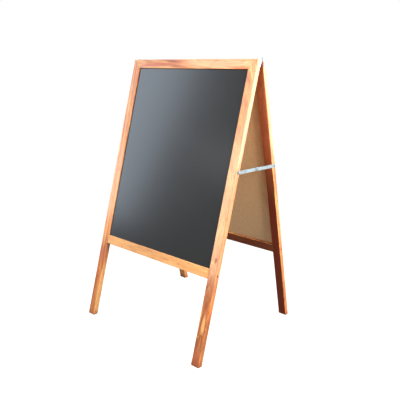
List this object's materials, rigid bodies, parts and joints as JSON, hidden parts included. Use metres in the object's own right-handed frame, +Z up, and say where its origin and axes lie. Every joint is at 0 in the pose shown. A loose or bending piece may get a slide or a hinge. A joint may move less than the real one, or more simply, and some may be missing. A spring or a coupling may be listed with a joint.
{
  "type": "sandwich board",
  "caption": "Folding A-frame sandwich board: timber frames with chalkboards, hinged at the top and held open by metal stays at the sides.",
  "frame": {"origin": "on the floor under the middle of the open board", "axes": "+Z up, -Y out of the front frame's chalkboard side, +X to the right as seen from the front"},
  "size_m": [0.6148, 0.5646, 1.0159],
  "materials": {
    "oiled_hardwood": "oiled",
    "plug_wood": "oiled, end grain",
    "dowel_wood": "bare",
    "hardboard": "bare hardboard",
    "chalk_surface": "satin",
    "zinc_steel": "zinc plated"
  },
  "bodies": {
    "front_frame": {"front_left_stile": "oiled_hardwood", "front_right_stile": "oiled_hardwood", "front_top_rail": "oiled_hardwood", "front_bottom_rail": "oiled_hardwood", "front_chalk_sheet": "chalk_surface", "front_backing_board": "hardboard", "front_mitre_dowels": "dowel_wood", "front_rail_screws": "zinc_steel", "front_plugs": "plug_wood", "front_left_hinge_leaf": "zinc_steel", "front_right_hinge_leaf": "zinc_steel", "front_hinge_screws": "zinc_steel", "hinge_rivets": "zinc_steel", "front_pivot_screws": "zinc_steel", "front_washers": "zinc_steel"},
    "rear_frame": {"rear_left_stile": "oiled_hardwood", "rear_right_stile": "oiled_hardwood", "rear_top_rail": "oiled_hardwood", "rear_bottom_rail": "oiled_hardwood", "rear_chalk_sheet": "chalk_surface", "rear_backing_board": "hardboard", "rear_mitre_dowels": "dowel_wood", "rear_rail_screws": "zinc_steel", "rear_plugs": "plug_wood", "rear_left_hinge_leaf": "zinc_steel", "rear_right_hinge_leaf": "zinc_steel", "rear_hinge_screws": "zinc_steel", "rear_pivot_screws": "zinc_steel", "rear_collars": "zinc_steel"},
    "left_front_link": {"left_stay_front_link": "zinc_steel", "left_knee_rivet_tail": "zinc_steel"},
    "left_rear_link": {"left_stay_rear_link": "zinc_steel", "left_knee_rivet": "zinc_steel"},
    "right_front_link": {"right_stay_front_link": "zinc_steel", "right_knee_rivet_tail": "zinc_steel"},
    "right_rear_link": {"right_stay_rear_link": "zinc_steel", "right_knee_rivet": "zinc_steel"}
  },
  "joints": [
    {"name": "frame_fold", "type": "hinge", "parent": "front_frame", "child": "rear_frame", "pos_m": [0, 0, 1.01112], "axis": [-1, 0, 0], "range_deg": [0, 29]},
    {"name": "left_front_link_pivot", "type": "hinge", "parent": "front_frame", "child": "left_front_link", "pos_m": [-0.3016, -0.10654, 0.6451], "axis": [1, 0, 0], "range_deg": [0, 69.31]},
    {"name": "left_rear_link_pivot", "type": "hinge", "parent": "rear_frame", "child": "left_rear_link", "pos_m": [-0.3034, 0.10654, 0.6451], "axis": [-1, 0, 0], "range_deg": [0, 69.31]},
    {"name": "right_front_link_pivot", "type": "hinge", "parent": "front_frame", "child": "right_front_link", "pos_m": [0.3016, -0.10654, 0.6451], "axis": [1, 0, 0], "range_deg": [0, 69.31]},
    {"name": "right_rear_link_pivot", "type": "hinge", "parent": "rear_frame", "child": "right_rear_link", "pos_m": [0.3034, 0.10654, 0.6451], "axis": [-1, 0, 0], "range_deg": [0, 69.31]}
  ],
  "couplings": [
    {"joint": "left_front_link_pivot", "follows": "frame_fold", "ratio": 2.3897},
    {"joint": "left_rear_link_pivot", "follows": "frame_fold", "ratio": 2.3897},
    {"joint": "right_front_link_pivot", "follows": "frame_fold", "ratio": 2.3897},
    {"joint": "right_rear_link_pivot", "follows": "frame_fold", "ratio": 2.3897}
  ]
}
